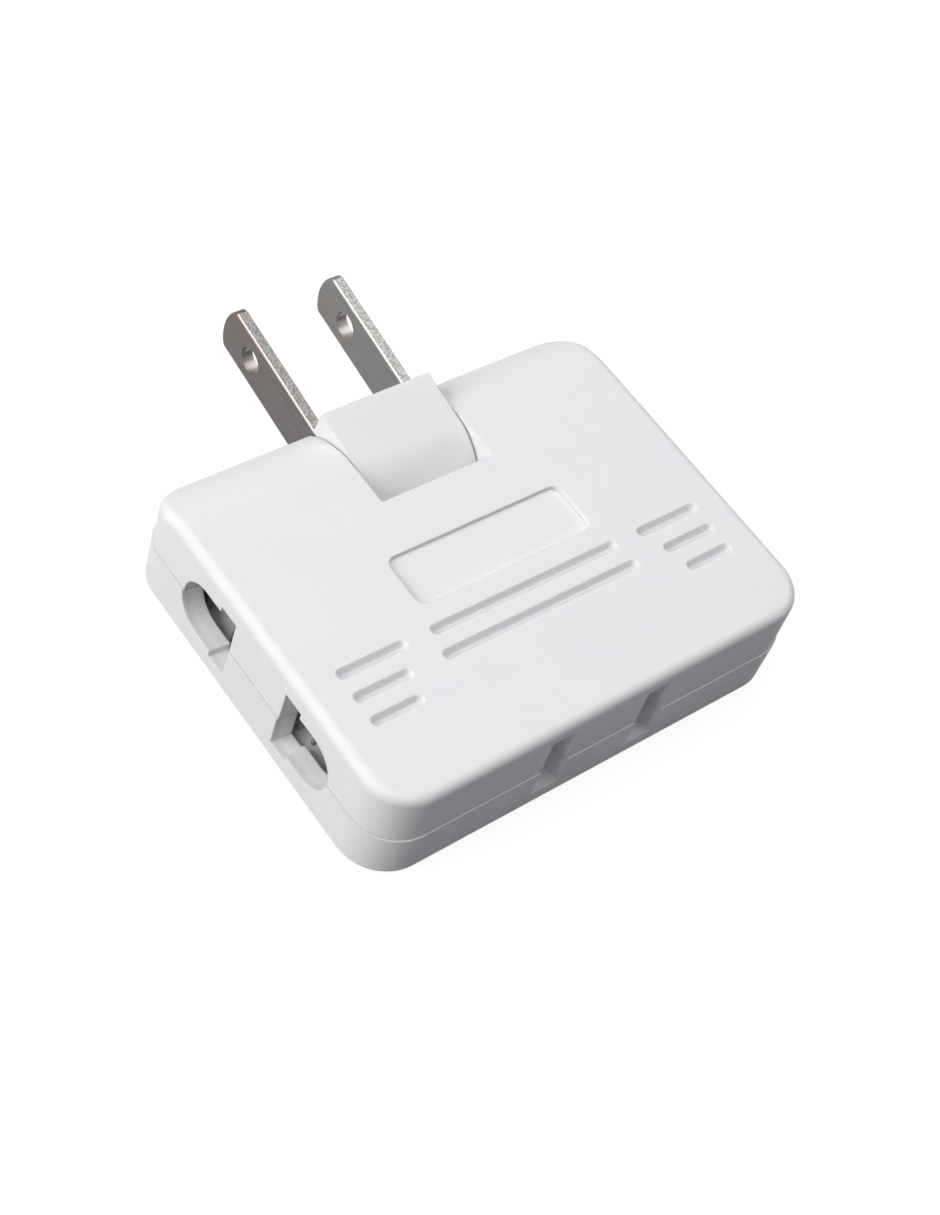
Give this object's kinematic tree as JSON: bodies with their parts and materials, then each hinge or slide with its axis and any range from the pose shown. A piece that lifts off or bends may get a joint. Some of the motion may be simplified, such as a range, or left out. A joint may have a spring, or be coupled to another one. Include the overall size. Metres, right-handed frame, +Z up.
{
  "type": "travel adapter",
  "caption": "Flat rounded-rectangle travel adapter with a swivelling two-blade plug head and outlets on three sides.",
  "frame": {"origin": "centre of the case's flat underside", "axes": "+X to the right along the case's width, +Y towards the side that the plug blades leave from, +Z up through the grooved top"},
  "size_m": [0.0564, 0.0619, 0.014],
  "materials": {
    "case_plastic": "fine satin moulded plastic",
    "head_plastic": "satin moulded plastic",
    "blade_metal": "dull plated metal with sheared edges",
    "pin_metal": "turned brass",
    "spring_metal": "rolled phosphor bronze strip",
    "contact_metal": "tarnished rolled brass strip",
    "bar_metal": "stamped brass",
    "sheet_board": "pressed insulating board",
    "screw_metal": "zinc-plated steel"
  },
  "bodies": {
    "case": {"upper_shell": "case_plastic", "lower_shell": "case_plastic", "wiper_spring_left": "spring_metal", "wiper_spring_right": "spring_metal", "contact_left_front": "contact_metal", "contact_left_rear": "contact_metal", "contact_right_front": "contact_metal", "contact_right_rear": "contact_metal", "contact_front_left": "contact_metal", "contact_front_right": "contact_metal", "bus_bar_rear": "bar_metal", "bus_bar_front": "bar_metal", "insulating_sheet": "sheet_board", "case_screws": "screw_metal"},
    "plug_head": {"plug_head": "head_plastic", "blade_left": "blade_metal", "blade_right": "blade_metal", "pivot_pin_left": "pin_metal", "pivot_pin_right": "pin_metal"}
  },
  "joints": [
    {"name": "plug_head_swivel", "type": "hinge", "parent": "case", "child": "plug_head", "pos_m": [0, 0.0162, 0.0066], "axis": [1, 0, 0], "range_deg": [-99.56, 80.44]}
  ]
}
